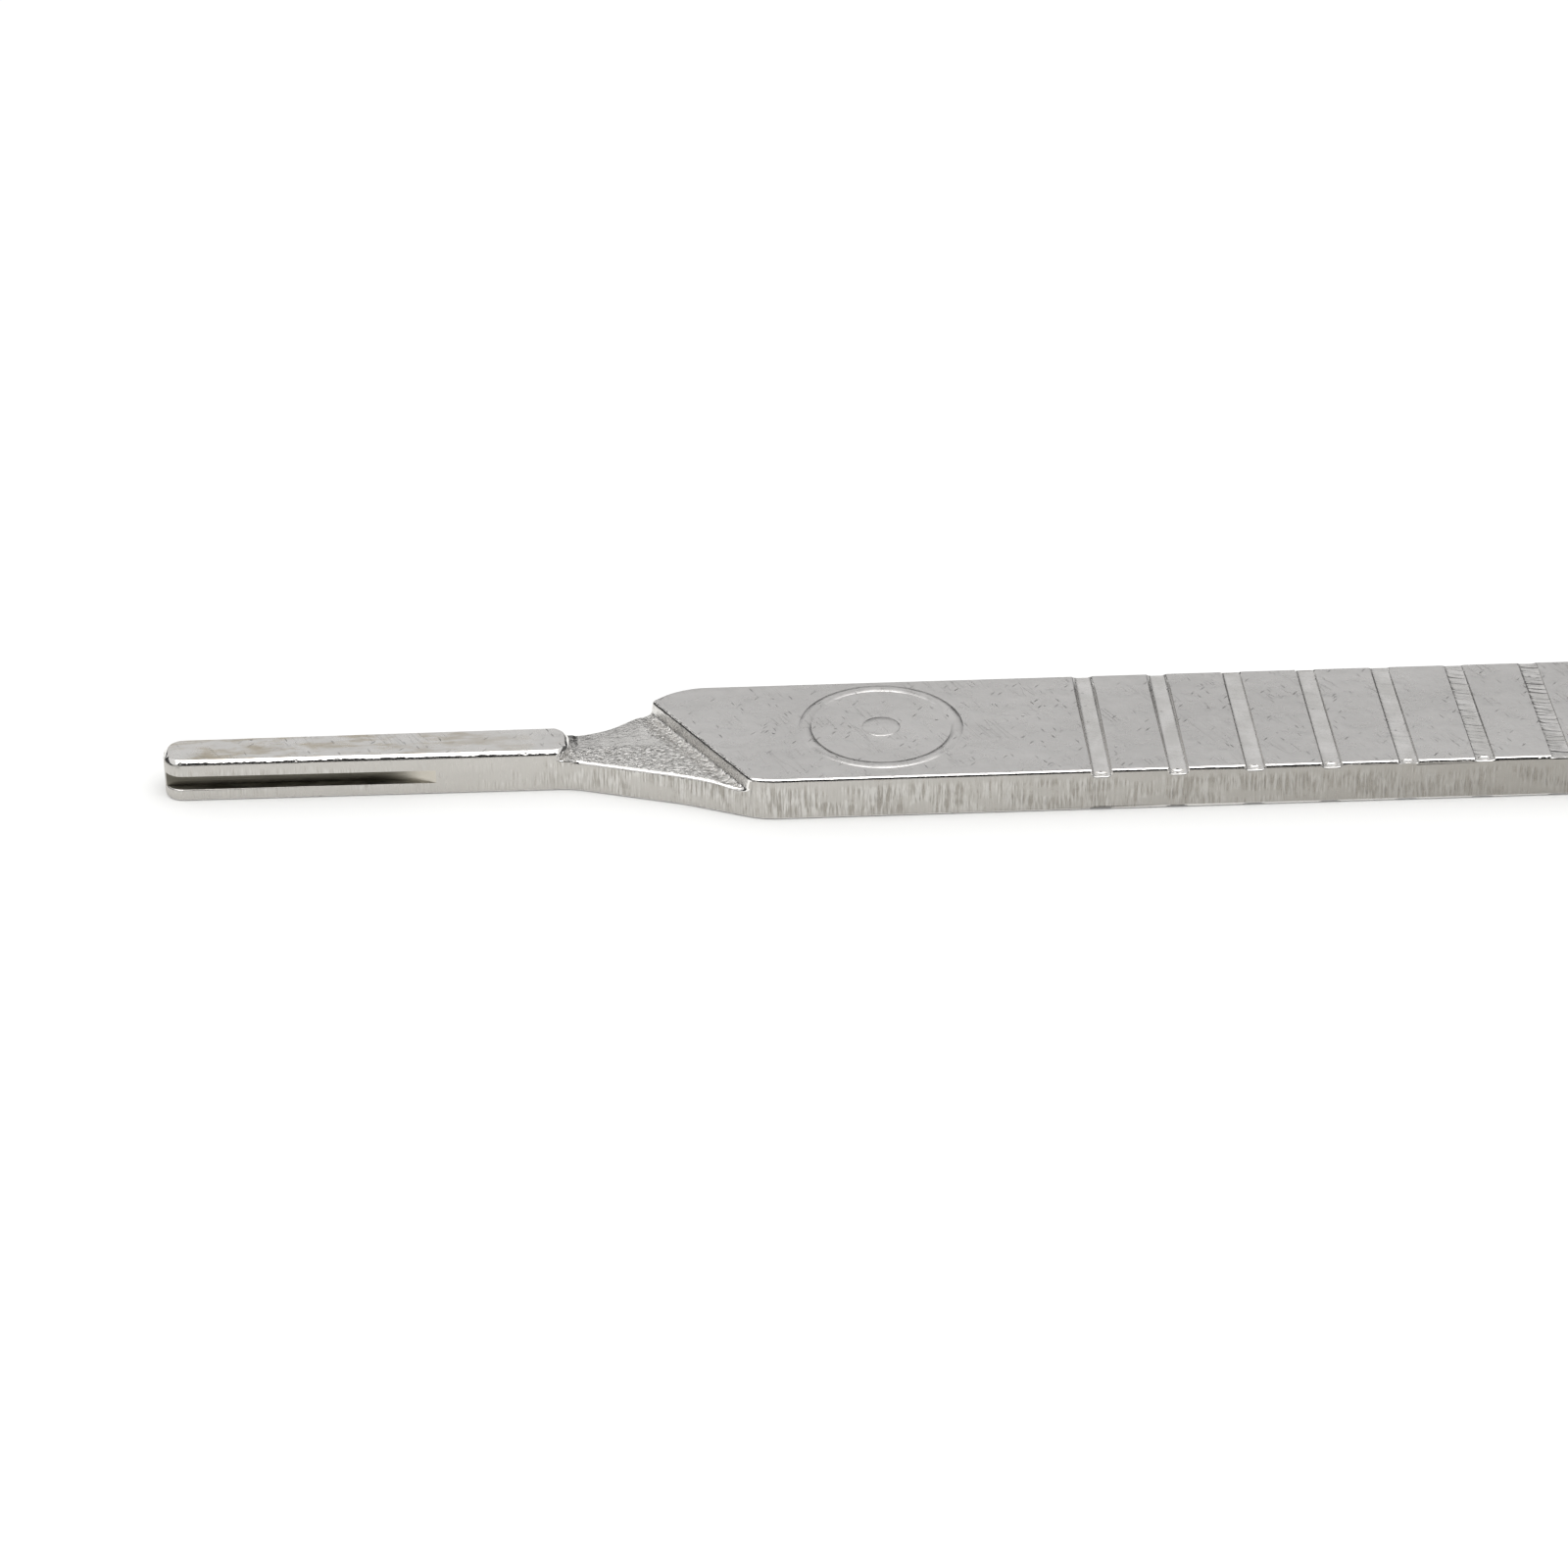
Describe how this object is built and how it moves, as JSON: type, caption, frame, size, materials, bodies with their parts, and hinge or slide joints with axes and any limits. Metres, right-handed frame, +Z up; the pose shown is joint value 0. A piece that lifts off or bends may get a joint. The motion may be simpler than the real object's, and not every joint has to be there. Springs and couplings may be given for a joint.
{
  "type": "scalpel handle",
  "caption": "Flat steel scalpel handle: slotted tang and slanted seat for a clip-on blade, ring mark, cross grooves for grip, tapered tail with a round end.",
  "frame": {"origin": "under the middle of the bar, on the flat surface that it lies on", "axes": "+X along the bar from the blade fitting to the tail, +Y across the bar, +Z up out of the face with the blade seat"},
  "size_m": [0.125, 0.01, 0.0025],
  "materials": {
    "plated_steel": "bright nickel plate over stamped steel, satin on the faces, polished on the edges"
  },
  "bodies": {
    "root": {"handle": "plated_steel"}
  },
  "joints": []
}
